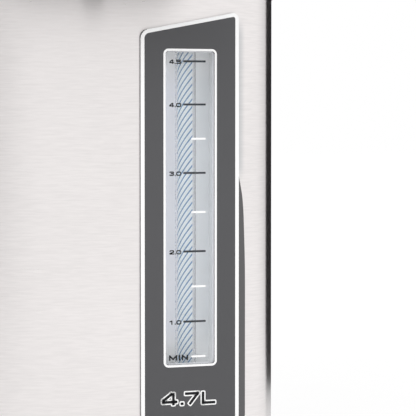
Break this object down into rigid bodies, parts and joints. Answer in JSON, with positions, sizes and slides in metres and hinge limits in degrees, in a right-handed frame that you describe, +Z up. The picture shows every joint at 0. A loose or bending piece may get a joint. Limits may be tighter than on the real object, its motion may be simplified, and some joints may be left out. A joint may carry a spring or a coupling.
{
  "type": "electric water boiler",
  "caption": "Countertop electric water boiler and dispenser: brushed steel body on a swivel foot, side level gauge, pump spout with buttons, hinged lid with air pump, carrying handle.",
  "frame": {"origin": "centre of the swivel foot, on the table", "axes": "+Z up; -Y towards the front with the spout; +X to the right, the side of the level gauge"},
  "size_m": [0.236, 0.305, 0.3375],
  "materials": {
    "brushed_steel": "horizontally brushed, satin",
    "pot_steel": "satin drawn steel",
    "body_plastic": "fine satin moulding",
    "gloss_panel": "polished",
    "gauge_face": "satin dark grey with a white border",
    "button_plastic": "satin",
    "lens_plastic": "clear",
    "tube_glass": "clear",
    "white_plastic": "smooth",
    "silicone": "matt, slightly translucent",
    "foot_rubber": "matt",
    "zinc_steel": "zinc plated",
    "heater_aluminium": "rolled",
    "pin_brass": "nickel-bright",
    "circuit_board": "lacquered",
    "wire_sleeve": "matt",
    "magnet": "dark sintered"
  },
  "bodies": {
    "foot": {"foot_ring": "foot_rubber", "turntable": "body_plastic"},
    "boiler": {"base_pan": "body_plastic", "base_screws": "zinc_steel", "beak_base": "body_plastic", "beak_cover": "gloss_panel", "collar": "body_plastic", "control_board": "circuit_board", "control_panel": "gloss_panel", "gauge_backing": "white_plastic", "gauge_housing": "body_plastic", "gauge_lower_elbow": "silicone", "gauge_panel": "gauge_face", "gauge_tube": "tube_glass", "gauge_upper_elbow": "silicone", "gauge_window": "lens_plastic", "handle_pins": "zinc_steel", "heater_band": "heater_aluminium", "heater_plate": "heater_aluminium", "hinge_pin": "zinc_steel", "inner_pot": "pot_steel", "lamp_lenses": "lens_plastic", "latch_keeper": "zinc_steel", "nozzle": "body_plastic", "outer_shell": "brushed_steel", "outlet_strainer": "pot_steel", "pot_bracket": "zinc_steel", "power_board": "circuit_board", "power_socket": "body_plastic", "pump_body": "white_plastic", "pump_inlet_hose": "silicone", "pump_motor": "zinc_steel", "pump_outlet_hose": "silicone", "rear_cover": "body_plastic", "socket_pins": "pin_brass", "spout_hose": "silicone", "swivel_bolt": "zinc_steel", "swivel_glides": "white_plastic", "swivel_washer": "zinc_steel", "thermostat": "zinc_steel", "wire_harness": "wire_sleeve"},
    "lid": {"lid_cover": "body_plastic", "lid_liner": "white_plastic", "lid_gasket": "silicone", "steam_vent": "body_plastic", "bellows": "silicone", "pump_spring": "zinc_steel", "latch_spring": "zinc_steel"},
    "push_plate": {"push_plate": "gloss_panel"},
    "lid_latch": {"lid_latch": "body_plastic"},
    "handle": {"handle": "body_plastic"},
    "dispense_button": {"dispense_button": "button_plastic"},
    "unlock_button": {"unlock_button": "button_plastic"},
    "reboil_button": {"reboil_button": "button_plastic"},
    "impeller": {"pump_impeller": "white_plastic"},
    "drive_magnet": {"drive_magnet": "magnet"}
  },
  "joints": [
    {"name": "swivel", "type": "hinge", "parent": "foot", "child": "boiler", "pos_m": [0, 0, 0.008], "axis": [0, 0, 1], "continuous": true},
    {"name": "lid_hinge", "type": "hinge", "parent": "boiler", "child": "lid", "pos_m": [0, 0.102, 0.299], "axis": [-1, 0, 0], "range_deg": [0, 85]},
    {"name": "lid_latch_slide", "type": "slide", "parent": "lid", "child": "lid_latch", "axis": [0, 1, 0], "range_m": [0, 0.005], "stiffness_N_per_m": 300, "springref_m": -0.003, "deforming": ["latch_spring"]},
    {"name": "push_plate_slide", "type": "slide", "parent": "lid", "child": "push_plate", "axis": [0, 0, -1], "range_m": [0, 0.015], "stiffness_N_per_m": 400, "springref_m": -0.008, "deforming": ["bellows", "pump_spring"]},
    {"name": "handle_swing", "type": "hinge", "parent": "boiler", "child": "handle", "pos_m": [0, 0.008, 0.291], "axis": [1, 0, 0], "range_deg": [0, 90]},
    {"name": "dispense_button_press", "type": "slide", "parent": "boiler", "child": "dispense_button", "axis": [0, 0.1736, -0.9848], "range_m": [0, 0.0012], "stiffness_N_per_m": 900, "springref_m": -0.0006},
    {"name": "unlock_button_press", "type": "slide", "parent": "boiler", "child": "unlock_button", "axis": [0, 0.1736, -0.9848], "range_m": [0, 0.0012], "stiffness_N_per_m": 900, "springref_m": -0.0006},
    {"name": "reboil_button_press", "type": "slide", "parent": "boiler", "child": "reboil_button", "axis": [0, 0.1736, -0.9848], "range_m": [0, 0.0012], "stiffness_N_per_m": 900, "springref_m": -0.0006},
    {"name": "motor_spin", "type": "hinge", "parent": "boiler", "child": "drive_magnet", "pos_m": [0.03, -0.03, 0.026], "axis": [0, 0, 1], "continuous": true},
    {"name": "impeller_spin", "type": "hinge", "parent": "boiler", "child": "impeller", "pos_m": [0.03, -0.03, 0.0315], "axis": [0, 0, 1], "continuous": true}
  ],
  "couplings": [
    {"joint": "impeller_spin", "follows": "motor_spin", "ratio": 1}
  ]
}
